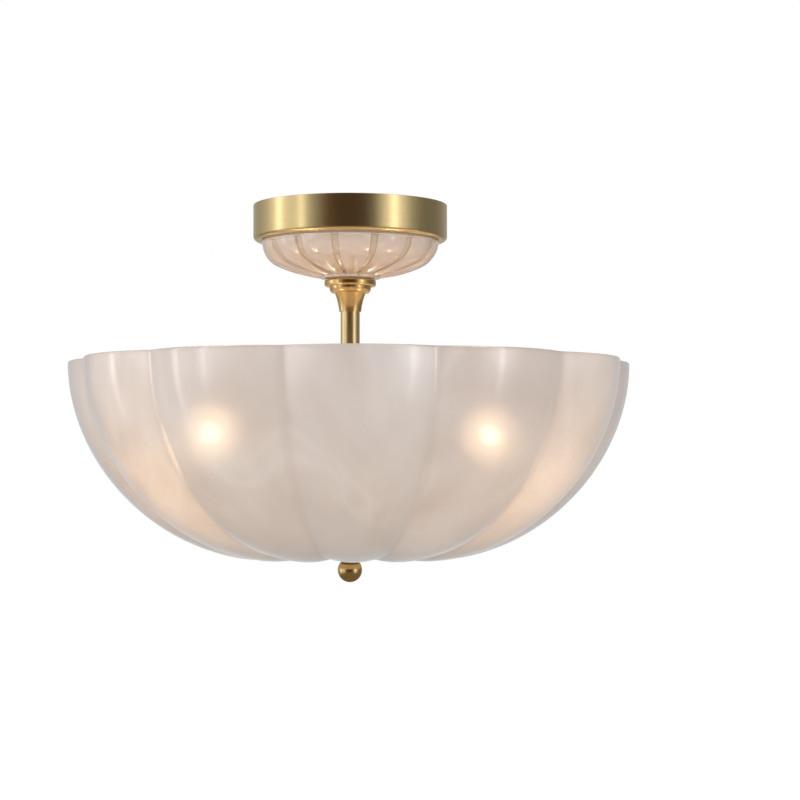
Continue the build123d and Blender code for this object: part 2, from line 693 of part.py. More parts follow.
def holder_contact():
    """Domed centre contact on the core's face."""
    tip = CONTACT_FACE - REST_GAP
    points = [
        (CORE_FACE, 0),
        (CORE_FACE, TONGUE_RADIUS),
        (tip - TONGUE_DOME, TONGUE_SHOULDER_RADIUS),
        (tip, TONGUE_TIP_RADIUS),
        (tip, 0),
    ]
    return lathe_x(make_face(Polyline(*points, close=True)))


def bulb_contact():
    """Solder button at the tip of the cap, the piece that shows how far the bulb is screwed in."""
    points = [
        (CONTACT_FACE, 0),
        (CONTACT_FACE, BUTTON_TIP_RADIUS),
        (CONTACT_FACE + BUTTON_HEIGHT / 2, BUTTON_RADIUS),
        (BUTTON_FRONT - THREAD_GAP, BUTTON_RADIUS),
        (BUTTON_FRONT - THREAD_GAP, 0),
    ]
    return lathe_x(make_face(Polyline(*points, close=True)))


def bulb_cap():
    """Screw cap of the bulb: insulating tip and thin metal shell."""
    points = [
        (BUTTON_FRONT, 0),
        (BUTTON_FRONT, BUTTON_RADIUS + CAP_TIP_FLARE),
        (CAP_BACK, CAP_RADIUS),
        (CAP_FRONT, CAP_RADIUS),
        (CAP_FRONT, CAP_RADIUS - CAP_WALL),
        (CAP_BACK + CAP_FLOOR, CAP_RADIUS - CAP_WALL),
        (CAP_BACK + CAP_FLOOR, 0),
    ]
    return lathe_x(make_face(Polyline(*points, close=True)))


def bulb_housing():
    """Flared bulb body from the cap to the globe's neck, with a spigot inside the cap."""
    spigot = CAP_RADIUS - CAP_WALL - THREAD_GAP
    spigot_back = CAP_FRONT - HOUSING_SPIGOT
    foot = CAP_RADIUS + HOUSING_FOOT
    waist = (foot + GLOBE_NECK_RADIUS) / 2 - HOUSING_HOLLOW
    middle = (CAP_FRONT + HOUSING_LENGTH * HOUSING_WAIST, waist)
    outline = [
        Line((spigot_back, 0), (spigot_back, spigot)),
        Line((spigot_back, spigot), (CAP_FRONT, spigot)),
        Line((CAP_FRONT, spigot), (CAP_FRONT, foot)),
        ThreePointArc((CAP_FRONT, foot), middle, (GLOBE_NECK, GLOBE_NECK_RADIUS)),
        Line((GLOBE_NECK, GLOBE_NECK_RADIUS), (GLOBE_NECK, 0)),
        Line((GLOBE_NECK, 0), (spigot_back, 0)),
    ]
    return lathe_x(make_face(outline))


def bulb_globe():
    """Opal globe, a thin ball shell cut flat at its neck."""
    ball = Pos(BULB_REACH, 0, 0) * Sphere(GLOBE_RADIUS)
    ball -= Pos(BULB_REACH, 0, 0) * Sphere(GLOBE_RADIUS - GLOBE_WALL)
    side = 4 * GLOBE_RADIUS
    return ball - Pos(GLOBE_NECK - side / 2, 0, 0) * Box(side, side, side)


def bulb_board():
    """Round board with its light sources, on the housing inside the globe."""
    mouth = math.sqrt((GLOBE_RADIUS - GLOBE_WALL) ** 2 - (BULB_REACH - GLOBE_NECK) ** 2)
    radius = mouth - HOLE_GAP
    start = GLOBE_NECK
    outline = [(start, 0), (start, radius), (start + BOARD_THICKNESS, radius), (start + BOARD_THICKNESS, 0)]
    board = lathe_x(make_face(Polyline(*outline, close=True)))
    for chip in range(CHIPS):
        block = Box(2 * CHIP_HEIGHT, CHIP_SIDE, CHIP_SIDE)
        place = Pos(start + BOARD_THICKNESS, 0, radius * CHIP_CIRCLE_SHARE)
        board += Rot(360 / CHIPS * chip, 0, 0) * place * block
    return board


def bowl_curve(inset, inset_low, grind):
    """Spline down the bowl's skin, in from the lobe crown by one distance at the rim, one at the foot."""
    top = BOWL_RIM - BOWL_RIM_CHAMFER
    reach = BOWL_RADIUS - BOWL_FOOT_RADIUS - inset
    drop = top - BOWL_FOOT - inset_low
    seat = BOWL_SEAT_LOW - grind
    points = quarter_curve(BOWL_FOOT_RADIUS, top, reach, drop, BOWL_CURVE_POWER, BOWL_CURVE_STEPS)
    foot = points[-1][1]
    land = BOWL_SEAT_RADIUS
    for share in BOWL_FLOOR_SHARES:
        blend = (1 - math.cos(math.pi * share)) / 2
        radius = BOWL_FOOT_RADIUS + (land - BOWL_FOOT_RADIUS) * share
        points.append((radius, foot + (seat - foot) * blend))
    points.append((land, seat))
    return Spline(*points, tangents=[(0, -1), (-1, 0)])


def bowl_section(groove, groove_low):
    """Closed meridian section of the bowl's wall, with its chamfered rim and its land at the hole."""
    skin = bowl_curve(groove, groove_low, SEAT_GRIND)
    lining = bowl_curve(groove + BOWL_WALL, groove_low + BOWL_WALL, -BOWL_WALL - SEAT_GRIND)
    rim = Polyline(
        lining @ 0,
        lining @ 0 + Vector(BOWL_RIM_CHAMFER, BOWL_RIM_CHAMFER),
        skin @ 0 + Vector(-BOWL_RIM_CHAMFER, BOWL_RIM_CHAMFER),
        skin @ 0,
    )
    land = TUBE_RADIUS - HOLE_STOCK
    low = Vector(land, (skin @ 1).Y)
    high = Vector(land, (lining @ 1).Y)
    return make_face([skin, Line(skin @ 1, low), Line(low, high), Line(high, lining @ 1), lining, rim])


def bowl():
    """Lobed glass bowl: one lobe lofted from groove to crown to groove, repeated round the hole."""
    half_lobe = 180 / BOWL_LOBES
    crown = Plane.XZ * bowl_section(0, 0)
    groove = Plane.XZ * bowl_section(BOWL_GROOVE, BOWL_GROOVE_LOW)
    lobe = loft([Rot(0, 0, -half_lobe) * groove, crown, Rot(0, 0, half_lobe) * groove])
    lobes = []
    for count in range(BOWL_LOBES):
        lobes.append(Rot(0, 0, BOWL_TURN - 90 + 2 * half_lobe * count) * lobe)
    glass = lobes[0] + lobes[1:]
    glass -= Pos(0, 0, BOWL_SEAT_LOW) * Cylinder(TUBE_RADIUS + BOWL_HOLE_GAP, 4 * BOWL_WALL)
    for side in (-1, 1):
        face = BOWL_SEAT_TOP if side > 0 else BOWL_SEAT_LOW
        grind = Cylinder(BOWL_SEAT_RADIUS - SEAT_GRIND_INSET, 2 * BOWL_WALL)
        glass -= Pos(0, 0, face + side * BOWL_WALL) * grind
    return glass


def ball_finial():
    """Brass ball with a short neck and a blind threaded hole."""
    ball = Pos(0, 0, BALL_CENTRE) * Sphere(BALL_RADIUS)
    ball += ring(BALL_NECK_RADIUS, 0, LOW_WASHER_LOW, LOW_WASHER_LOW - BALL_NECK)
    ball -= Pos(0, 0, LOW_WASHER_LOW + BALL_RADIUS) * Cylinder(2 * BALL_RADIUS, 2 * BALL_RADIUS)
    depth = TUBE_IN_BALL + END_GAP
    return ball - Pos(0, 0, LOW_WASHER_LOW) * Cylinder(TUBE_RADIUS + THREAD_GAP, 2 * depth)


def save(solid, node):
    """Write one node's STEP file."""
    export_step(solid, os.path.join("parts", node + ".step"))


def main():
    os.makedirs("parts", exist_ok=True)
    tube_hole = TUBE_RADIUS + HOLE_GAP
    save(ceiling_bracket(), "ceiling_bracket")
    save(earth_screw(), "earth_screw")
    save(mounting_nipple(), "mounting_nipple")
    save(lock_nuts(), "lock_nuts")
    save(terminal_block(), "terminal_block")
    save(terminal_screws(), "terminal_screws")
    save(supply_lead(0, 1), "lead_live")
    save(supply_lead(1, -1), "lead_neutral")
    save(lead_earth(), "lead_earth")
    save(canopy_pan(), "canopy_pan")
    save(canopy_glass(), "canopy_glass")
    save(canopy_gasket(), "canopy_gasket")
    save(collar_washer(), "collar_washer")
    save(collar_ring(), "collar_ring")
    save(stem_coupler(), "stem_coupler")
    save(stem_tube(), "stem_tube")
    save(hub_body(), "hub_body")
    save(hub_cover(), "hub_cover")
    save(hub_screws(), "hub_screws")
    save(hub_connector(), "hub_connector")
    save(holder_leads(), "holder_leads")
    save(lower_rod(), "lower_rod")
    save(rod_sleeve(), "rod_sleeve")
    save(ring(TOP_WASHER_RADIUS, tube_hole, TOP_NUT_LOW, TOP_WASHER_LOW), "bowl_top_washer")
    save(ring(TOP_WASHER_RADIUS, tube_hole, TOP_WASHER_LOW, BOWL_SEAT_TOP), "bowl_top_gasket")
    save(bowl(), "bowl")
    low_hole = TUBE_RADIUS + BOWL_HOLE_GAP
    save(ring(LOW_WASHER_RADIUS, low_hole, BOWL_SEAT_LOW, LOW_GASKET_LOW), "bowl_low_gasket")
    save(ring(LOW_WASHER_RADIUS, low_hole, LOW_GASKET_LOW, LOW_WASHER_LOW), "bowl_low_washer")
    save(ball_finial(), "ball_finial")
    makers = {
        "holder_arm": holder_arm,
        "holder_shell": holder_shell,
        "holder_core": holder_core,
        "holder_thread": holder_thread,
        "holder_contact": holder_contact,
        "bulb_contact": bulb_contact,
        "bulb_cap": bulb_cap,
        "bulb_housing": bulb_housing,
        "bulb_globe": bulb_globe,
        "bulb_board": bulb_board,
    }
    for name, maker in makers.items():
        piece = maker()
        for arm in range(ARMS):
            save(along_arm(piece, arm_angle(arm)), f"{name}_{arm + 1}")


main()
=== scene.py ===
"""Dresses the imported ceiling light: lobed cloudy bowl, ribbed dish, brass pieces and a studio stage."""

import json
import math

import bmesh
import bpy
import numpy as np
from bpy.props import FloatProperty, FloatVectorProperty, IntProperty, PointerProperty
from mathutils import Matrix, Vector


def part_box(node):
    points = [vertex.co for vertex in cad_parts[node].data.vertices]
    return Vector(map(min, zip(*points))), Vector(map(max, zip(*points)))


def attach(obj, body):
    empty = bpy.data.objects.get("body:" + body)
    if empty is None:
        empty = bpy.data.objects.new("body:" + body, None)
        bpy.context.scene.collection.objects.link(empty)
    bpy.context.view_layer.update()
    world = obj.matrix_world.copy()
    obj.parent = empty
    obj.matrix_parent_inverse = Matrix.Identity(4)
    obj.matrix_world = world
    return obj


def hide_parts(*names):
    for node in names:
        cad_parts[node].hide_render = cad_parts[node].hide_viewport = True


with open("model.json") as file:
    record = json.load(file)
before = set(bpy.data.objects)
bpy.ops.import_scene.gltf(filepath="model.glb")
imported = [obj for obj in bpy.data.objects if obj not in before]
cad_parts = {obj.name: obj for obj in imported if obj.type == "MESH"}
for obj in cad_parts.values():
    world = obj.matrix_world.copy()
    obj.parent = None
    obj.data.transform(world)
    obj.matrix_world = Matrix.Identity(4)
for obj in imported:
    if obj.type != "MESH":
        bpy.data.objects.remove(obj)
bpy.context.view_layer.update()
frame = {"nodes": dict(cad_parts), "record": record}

bl_info = {
    "name": "Lobed Glass Ceiling Light",
    "version": (1, 0, 0),
    "blender": (4, 5, 0),
    "location": "3D View > Sidebar > Ceiling Light",
    "description": "Makes the visible pieces and the finishes of a semi-flush ceiling light",
    "category": "Object",
}

NODE_BOX = {node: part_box(node) for node in frame["nodes"]}
BULBS = ("bulb_globe_1", "bulb_globe_2", "bulb_globe_3")

# Meshes: distance in metres of the points beside an arc and of points that merge, angle of a sharp edge.
SUPPORT = 0.00015
SAME_POINT = 1e-7
SHARP_EDGE = math.radians(50)

# Edges and small steps, in metres.
CRISP = 0.0002
TURNED_EDGE = 0.0003
GRIND = 0.0004
SEAT_STEP = 0.001

# Glass dish, in metres, and the flank of a channel as a share of a lobe's half width.
SPIGOT_HEIGHT = 0.002
SPIGOT_RADIUS = 0.0574
SPIGOT_WALL = 0.003
CANOPY_GASKET = 0.0008
DISH_HOLE = 0.0162
CHANNEL_FLANK = 0.09

# Brass pieces, in metres, and the collar's rounding as a share of its height.
PAN_WALL = 0.0012
LIP_BORE = 0.058
BAND_EDGE = 0.003
COLLAR_BORE = 0.0157
COLLAR_ROUND = 0.3
STEM_WALL = 0.0015
TUBE_HOLE = 0.00505
STEP_TOP, STEP_LOW, STEP_HEIGHT = 0.0153, 0.0126, 0.0049
CONE_TOP, CONE_LOW, CONE_HOLLOW = 0.01125, 0.00805, 0.0005
HEAD_EDGE = 0.0004
STEM_HOLE, LEAD_HOLE, NIPPLE_STOP = 0.00705, 0.004, 0.004
NECK_RADIUS, NECK_HEIGHT, BALL_HOLE_DEPTH = 0.0065, 0.0024, 0.0089
BALL_ROWS = 48

# Look of the bowl's glass.
VEIN_WHITE = (0.93, 0.92, 0.92)
# Colour of the painted shade at the bottom of each groove.
PAINTED_GROOVE_SHADE = (0.55, 0.49, 0.46)
GLOW_HALFWAY = 0.33
GLOW_STRENGTH = 0.38

# Studio: brightness, tints, lamps and floor.
STUDIO_PEAK = 3.0
STUDIO_GAIN = 1.15
STUDIO_TINT = (1.0, 0.985, 0.97, 1.0)
GROUND_TONE = (0.055, 0.046, 0.034, 1.0)
FADE_START, FADE_END = -0.08, -0.50
DARK_BAND, DARK_WARMTH = 0.1, 0.6
LAMP_SHADE = (1.0, 0.97, 0.94)
LAMP_AIM = (0, 0, -0.16)
RIGHT_LAMP_SHARE = 0.8
FLOOR_HALF = 30.0
FLOOR_PAINT = (0.90, 0.90, 0.89, 1.0)
FLOOR_WHITE = 1.03
FLOOR_WHITE_SHARE = 0.97
SENSOR_WIDTH = 36.0

# Soft boxes in reflections: degrees from the front towards +X, and brightness.
STUDIO_BOXES = (
    (-180, 0.45), (-140, 0.30), (-118, 0.42), (-102, 0.70), (-97, 0.75), (-95, 2.4), (-91, 2.4),
    (-89, 0.75), (-76, 0.66), (-63, 0.60), (-61, 1.9), (-58, 1.9), (-56, 0.50), (-44, 0.28),
    (-28, 0.08), (-14, 0.045), (16, 0.045), (30, 0.12), (42, 0.70), (49, 0.70), (51, 2.4), (55, 2.4),
    (57, 0.72), (66, 0.68), (76, 0.28), (96, 0.14), (124, 0.16), (150, 0.30), (180, 0.45))


def top_of(node):
    """Highest point of a CAD node."""
    return NODE_BOX[node][1].z


def low_of(node):
    """Lowest point of a CAD node."""
    return NODE_BOX[node][0].z


def radius_of(node):
    """Half the width of a CAD node that is turned round the stem's axis."""
    return (NODE_BOX[node][1].x - NODE_BOX[node][0].x) / 2


def length(name, default, description):
    """A size in metres for a settings group."""
    return FloatProperty(name=name, description=description, default=default, min=0.0,
                         subtype="DISTANCE", unit="LENGTH", precision=5)


def share(name, default, description):
    """A plain number from 0 up for a settings group."""
    return FloatProperty(name=name, description=description, default=default, min=0.0, subtype="FACTOR")


def colour(name, default, description):
    """A colour for a settings group."""
    return FloatVectorProperty(name=name, description=description, default=default, size=3,
                               min=0.0, max=1.0, subtype="COLOR")


class BowlSettings(bpy.types.PropertyGroup):
    """Sizes and colours of the lobed glass bowl."""

    radius: length("Radius", 0.2049, "From the stem's axis to the crown of a lobe at the rim")
    wall: length("Wall", 0.0055, "Thickness of the glass")
    lobes: IntProperty(name="Lobes", description="Lobes round the bowl", default=12, min=3)
    turn: FloatProperty(name="Turn", description="Turn of the first lobe from the front", subtype="ANGLE",
                        unit="ROTATION", default=math.radians(2.0))
    groove: length("Groove", 0.009, "How far a groove lies inside the crowns at the rim")
    groove_low: length("Groove at the foot", 0.0026, "How far a groove lies inside the crowns at the foot")
    foot_radius: length("Foot radius", 0.061, "Radius at which the wall turns into the dimple")
    dimple: length("Dimple", 0.004, "Height of the seat over the foot")
    seat_radius: length("Seat radius", 0.019, "Radius of the ground seat round the hole")
    hole_radius: length("Hole radius", 0.0055, "Radius of the hole for the threaded tube")
    rim_round: length("Rim rounding", 0.0014, "Rounding of the rim's two edges")
    curve_power: share("Curve power", 1.9, "2 gives a quarter ellipse, less gives a straighter wall")
    groove_soft: share("Groove softness", 0.05, "Rounding at the bottom of a groove, 0 for a sharp fold")
    pale: colour("Pale cloud", (0.84, 0.80, 0.79), "Milky parts of the glass")
    deep: colour("Deep cloud", (0.755, 0.695, 0.675), "Clearer and pinker parts of the glass")
    glow: colour("Glow", (1.0, 0.63, 0.33), "Light of the bulbs in the glass")


class DishSettings(bpy.types.PropertyGroup):
    """Sizes and colours of the ribbed glass dish under the canopy."""

    radius: length("Radius", 0.065, "Radius of the lobes at the rim")
    lobes: IntProperty(name="Lobes", description="Lobes round the dish", default=14, min=3)
    turn: FloatProperty(name="Turn", description="Turn of the first lobe from the front", subtype="ANGLE",
                        unit="ROTATION", default=math.radians(2.9))
    channel_width: length("Channel width", 0.0047, "Width of a channel between two lobes at the rim")
    channel_depth: length("Channel depth", 0.0024, "Depth of a channel under the crowns")
    lobe_step: length("Lobe step", 0.0007, "Height of a lobe's edge over the channel")
    wall: length("Wall", 0.0046, "Thickness of the glass under a channel")
    rim_height: length("Rim height", 0.0013, "Height of the plain rim")
    rim_proud: length("Rim proud", 0.0003, "How far the rim stands out over the lobes")
    flat_radius: length("Flat radius", 0.014, "Radius at which the curve of the dish ends")
    seat_radius: length("Seat radius", 0.022, "Radius of the ground seat over the collar")
    end_share: share("End share", 0.7, "Radius of the upper arc as a share of the depth")
    pale: colour("Pale", (0.76, 0.645, 0.57), "Milky glass of the lobes")
    # Painted colour of the brass seen through the thin channel glass.
    channel: colour("Channel", (0.52, 0.38, 0.20), "Thin glass of the channels, with the brass behind it")


class BrassSettings(bpy.types.PropertyGroup):
    """Colours of the metal."""

    satin: colour("Satin brass", (0.85, 0.66, 0.33), "Brushed and lacquered brass of band and stem")
    polished: colour("Polished brass", (0.80, 0.56, 0.24), "Turned brass of collar, coupler and ball")


class StageSettings(bpy.types.PropertyGroup):
    """Camera, floor and light."""

    distance: length("Camera distance", 1.62, "From the camera to the stem's axis")
    below: length("Camera below the ceiling", 0.2156, "Height of the camera under the ceiling plane")
    lens: FloatProperty(name="Lens", description="Focal length", default=99.77, unit="CAMERA")
    pitch: FloatProperty(name="Pitch", description="How far the camera looks up", subtype="ANGLE",
                         unit="ROTATION", default=math.radians(2.583))
    yaw: FloatProperty(name="Yaw", description="How far the camera looks to the right", subtype="ANGLE",
                       unit="ROTATION", default=math.radians(1.29))
    floor_drop: length("Floor", 2.4, "Height of the ceiling over the floor")
    fill: share("Fill", 0.66, "Strength of the light from all round")
    key: share("Key", 12.0, "Watts of the left lamp, which is a little brighter than the right one")
    bulb: share("Bulbs", 44.0, "Brightness at the core of a bulb")


def rounded_outline(corners, steps=5):
    """Closed outline of radius and height with every corner turned into an arc.

    An arc's centre lies on the bisector at rounding / sin(half the corner's angle), and its points are
    a circular blend of its two ends. One more point on the straight beyond each end keeps flats flat.
    """
    corners = np.asarray(corners, float)
    point, rounding = corners[:, :2], corners[:, 2:3]
    back = np.roll(point, 1, 0) - point
    ahead = np.roll(point, -1, 0) - point
    back /= np.linalg.norm(back, axis=1, keepdims=True)
    ahead /= np.linalg.norm(ahead, axis=1, keepdims=True)
    half = np.arccos(np.clip((back * ahead).sum(1, keepdims=True), -1, 1)) / 2
    cut = rounding / np.tan(half)
    bisector = (back + ahead) / np.linalg.norm(back + ahead, axis=1, keepdims=True)
    centre = point + bisector * rounding / np.sin(half)
    start, end = point + back * cut, point + ahead * cut
    sweep = math.pi - 2 * half
    blend = np.linspace(0, 1, steps)
    first = (np.sin((1 - blend) * sweep) / np.sin(sweep))[:, :, None]
    second = (np.sin(blend * sweep) / np.sin(sweep))[:, :, None]
    arc = centre[:, None] + first * (start - centre)[:, None] + second * (end - centre)[:, None]
    before = (start + back * SUPPORT)[:, None]
    after = (end + ahead * SUPPORT)[:, None]
    return np.concatenate([before, arc, after], axis=1).reshape(-1, 2)


def spun(outline, turns=128):
    """Grid of an outline of radius and height carried round the stem's axis."""
    angle = np.arange(turns) * (2 * math.pi / turns)
    radius, height = outline[:, :1], outline[:, 1:]
    return np.stack([radius * np.sin(angle), -radius * np.cos(angle), height + 0 * angle], axis=-1)


def lobed(radial, across, height, lobes, turn):
    """Grid of one lobe's columns repeated round the axis.

    A point lies at radial along the lobe's middle direction and across at right angles to it. Angles
    count from the front, -Y, towards +X.
    """
    angle = turn + np.arange(lobes)[:, None] * (2 * math.pi / lobes)
    east = radial[:, None] * np.sin(angle) + across[:, None] * np.cos(angle)
    north = across[:, None] * np.sin(angle) - radial[:, None] * np.cos(angle)
    up = np.broadcast_to(height[:, None], east.shape)
    return np.stack([east, north, up], axis=-1).reshape(len(radial), -1, 3)


def grid_faces(rows, columns, closed):
    """Corner numbers of the quads of a grid that closes round its columns, and down its rows if closed."""
    row = np.arange(rows if closed else rows - 1)[:, None]
    column = np.arange(columns)[None]
    below, right = (row + 1) % rows, (column + 1) % columns
    corners = [row * columns + column, row * columns + right,
               below * columns + right, below * columns + column]
    return np.stack([np.broadcast_to(corner, (len(row), columns)) for corner in corners],
                    axis=-1).reshape(-1, 4)


def make_piece(name, grid, material, body, nodes, closed=True):
    """Object from a grid of points: smooth, faces outwards, riding on a body for its CAD nodes."""
    faces = grid_faces(grid.shape[0], grid.shape[1], closed)
    mesh = bpy.data.meshes.new(name)
    mesh.from_pydata(grid.reshape(-1, 3), [], faces)
    shape = bmesh.new()
    shape.from_mesh(mesh)
    bmesh.ops.remove_doubles(shape, verts=shape.verts, dist=SAME_POINT)
    bmesh.ops.recalc_face_normals(shape, faces=shape.faces)
    shape.to_mesh(mesh)
    shape.free()
    mesh.shade_smooth()
    mesh.set_sharp_from_angle(angle=SHARP_EDGE)
    mesh.materials.append(material)
    piece = bpy.data.objects.new(name, mesh)
    bpy.context.scene.collection.objects.link(piece)
    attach(piece, body)
    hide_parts(*nodes)
    return piece


def bowl_skin(bowl, inset, inset_low, seat, rows=64, foot_rows=16):
    """Radius and height down one meridian of the bowl's skin.

    Wall: radius = foot + reach cos(t)^(2/power), height = rim - drop sin(t)^(2/power), t a quarter turn.
    Dimple: radius falls evenly to the seat's while the height rises by half a cosine wave.
    """
    foot = low_of("bowl")
    rim = top_of("bowl") - bowl.rim_round
    t = np.linspace(0, math.pi / 2, rows)
    reach = bowl.radius - bowl.foot_radius - inset
    drop = rim - foot - inset_low
    power = 2 / bowl.curve_power
    radius = bowl.foot_radius + reach * np.clip(np.cos(t), 0, 1) ** power
    height = rim - drop * np.sin(t) ** power
    way = np.linspace(0, 1, foot_rows + 1)[1:]
    dimple_radius = bowl.foot_radius + (bowl.seat_radius - bowl.foot_radius) * way
    dimple_height = height[-1] + (seat - height[-1]) * (1 - np.cos(math.pi * way)) / 2
    return np.stack([np.append(radius, dimple_radius), np.append(height, dimple_height)], axis=1)


def bowl_section(bowl, inset, inset_low, rim_rows=6):
    """Closed meridian section of the wall: skin, ground seats at the hole, lining and rounded rim."""
    low = low_of("bowl") + bowl.dimple
    skin = bowl_skin(bowl, inset, inset_low, low - GRIND)
    lining = bowl_skin(bowl, inset + bowl.wall, inset_low + bowl.wall, low + bowl.wall + GRIND)
    step, hole = bowl.seat_radius - SEAT_STEP, bowl.hole_radius
    seat = [(step, low - GRIND), (step - GRIND, low), (hole + GRIND, low), (hole, low + GRIND),
            (hole, low + bowl.wall - GRIND), (hole + GRIND, low + bowl.wall),
            (step - GRIND, low + bowl.wall), (step, low + bowl.wall + GRIND)]
    t = np.linspace(0, math.pi / 2, rim_rows)[:, None]
    bend = bowl.rim_round
    inner_edge = lining[0] + bend * np.concatenate([1 - np.cos(t), np.sin(t)], axis=1)
    outer_edge = skin[0] + bend * np.concatenate([np.sin(t) - 1, np.cos(t)], axis=1)
    return np.concatenate([skin, seat, lining[::-1], inner_edge[1:], outer_edge[:-1]])


def bowl_grid(bowl, columns=30):
    """Lobed bowl: every row runs from groove over crown to groove.

    With s from -1 to 1 over a lobe and w = s^2 softened near the groove, a point lies at
    crown + w (groove - crown) radially and in height, and at s times the groove's half width across.
    """
    half = math.pi / bowl.lobes
    crown = bowl_section(bowl, 0, 0)
    groove = bowl_section(bowl, bowl.groove, bowl.groove_low)
    s = np.sin(np.linspace(-math.pi / 2, math.pi / 2, columns, endpoint=False))
    soft = bowl.groove_soft
    depth = 1 - s**2
    w = 1 - (np.sqrt(depth**2 + soft**2) - soft) / (math.sqrt(1 + soft**2) - soft)
    radial = crown[:, :1] + (groove[:, :1] * math.cos(half) - crown[:, :1]) * w
    across = groove[:, :1] * math.sin(half) * s
    height = crown[:, 1:] + (groove[:, 1:] - crown[:, 1:]) * w
    return lobed(radial, across, height, bowl.lobes, bowl.turn), w


def dish_arcs(dish, inset, rows=40):
    """Radius and height down the dish: two tangent arcs, moved in from the crowns by one distance.

    The upper arc's radius is a share of the depth, and the lower one's is the radius that meets it
    tangentially: (reach^2 + drop^2 - 2 reach small) / (2 (drop - small)).
    """
    top = top_of("canopy_glass") - SPIGOT_HEIGHT - CANOPY_GASKET - dish.rim_height / 2
    reach = dish.radius - dish.flat_radius - inset
    drop = top - low_of("canopy_glass") - dish.lobe_step - inset
    small = dish.end_share * drop
    large = (reach**2 + drop**2 - 2 * reach * small) / (2 * (drop - small))
    small_centre = np.array([dish.flat_radius + reach - small, top])
    large_centre = np.array([dish.flat_radius, top - drop + large])
    way = small_centre - large_centre
    turn = math.atan2(-way[1], way[0])
    upper = np.linspace(0, turn, rows // 2)[:, None]
    lower = np.linspace(turn, math.pi / 2, rows // 2 + 1)[1:, None]
    upper_arc = small_centre + small * np.concatenate([np.cos(upper), -np.sin(upper)], axis=1)
    lower_arc = large_centre + large * np.concatenate([np.cos(lower), -np.sin(lower)], axis=1)
    return np.concatenate([upper_arc, lower_arc])


def dish_section(dish, inset):
    """Closed meridian section of the dish: lobed skin, seat, hole, lining, spigot and plain rim."""
    bottom = low_of("canopy_glass")
    spigot_top = top_of("canopy_glass")
    rim_top = spigot_top - SPIGOT_HEIGHT - CANOPY_GASKET
    rim_low = rim_top - dish.rim_height
    crown = dish_arcs(dish, 0)
    shown = (crown[:, 0] > dish.seat_radius + CRISP) & (crown[:, 1] < rim_low - CRISP)
    skin = dish_arcs(dish, inset)[shown]
    lining = dish_arcs(dish, dish.channel_depth + dish.wall)
    lining = lining[(lining[:, 0] > DISH_HOLE) & (lining[:, 1] < rim_low)]
    edge = TURNED_EDGE
    outer, rim = dish.seat_radius, dish.radius + dish.rim_proud
    seat = [(outer, skin[-1, 1]), (outer, bottom + edge), (outer - edge, bottom),
            (DISH_HOLE + edge, bottom), (DISH_HOLE, bottom + edge), (DISH_HOLE, lining[-1, 1])]
    inside = SPIGOT_RADIUS - SPIGOT_WALL
    upper = [(lining[0, 0], rim_low), (inside, rim_low), (inside, spigot_top - edge),
             (inside + edge, spigot_top), (SPIGOT_RADIUS - edge, spigot_top),
             (SPIGOT_RADIUS, spigot_top - edge), (SPIGOT_RADIUS, rim_top), (rim - edge, rim_top),
             (rim, rim_top - edge), (rim, rim_low + edge), (rim - edge, rim_low)]
    return np.concatenate([skin, seat, lining[::-1], upper])


def dish_grid(dish, columns=48):
    """Ribbed dish: convex lobes between flat channels.

    With s from 0 at a lobe's crown to 1 at its edge, the skin lies inside the crown's by edge s^2. Round
    s = 1 it steps smoothly down to the channel's floor, over CHANNEL_FLANK of the lobe's half width.
    """
    pitch = 2 * math.pi / dish.lobes
    angle = np.linspace(-pitch / 2, pitch / 2, columns, endpoint=False)
    half_lobe = (pitch - dish.channel_width / dish.radius) / 2
    s = np.abs(angle) / half_lobe
    edge = (dish.channel_depth - dish.lobe_step) / dish.channel_depth
    step = np.clip((s - 1) / CHANNEL_FLANK + 0.5, 0, 1)
    inside = edge * np.minimum(s, 1) ** 2
    w = inside + (1 - inside) * step * step * (3 - 2 * step)
    crown, floor = dish_section(dish, 0), dish_section(dish, dish.channel_depth)
    radius = crown[:, :1] + (floor[:, :1] - crown[:, :1]) * w
    height = crown[:, 1:] + (floor[:, 1:] - crown[:, 1:]) * w
    return lobed(radius * np.cos(angle), radius * np.sin(angle), height, dish.lobes, dish.turn), w


def combined(tree, operation, first, second):
    """The result of one operation on two numbers, each an output or a fixed value."""
    node = tree.nodes.new("ShaderNodeMath")
    node.operation = operation
    for socket, value in ((0, first), (1, second)):
        if isinstance(value, bpy.types.NodeSocket):
            tree.links.new(value, node.inputs[socket])
        else:
            node.inputs[socket].default_value = value
    return node.outputs[0]


def colour_ramp(tree, factor, stops):
    """Colour or grey picked by a factor between stops of (place, value)."""
    node = tree.nodes.new("ShaderNodeValToRGB")
    elements = node.color_ramp.elements
    for _ in stops[2:]:
        elements.new(0.5)
    for element, (position, value) in zip(elements, stops):
        element.position = position
        element.color = (*value, 1.0) if isinstance(value, tuple) else (value, value, value, 1.0)
    tree.links.new(factor, node.inputs["Fac"])
    return node.outputs["Color"]


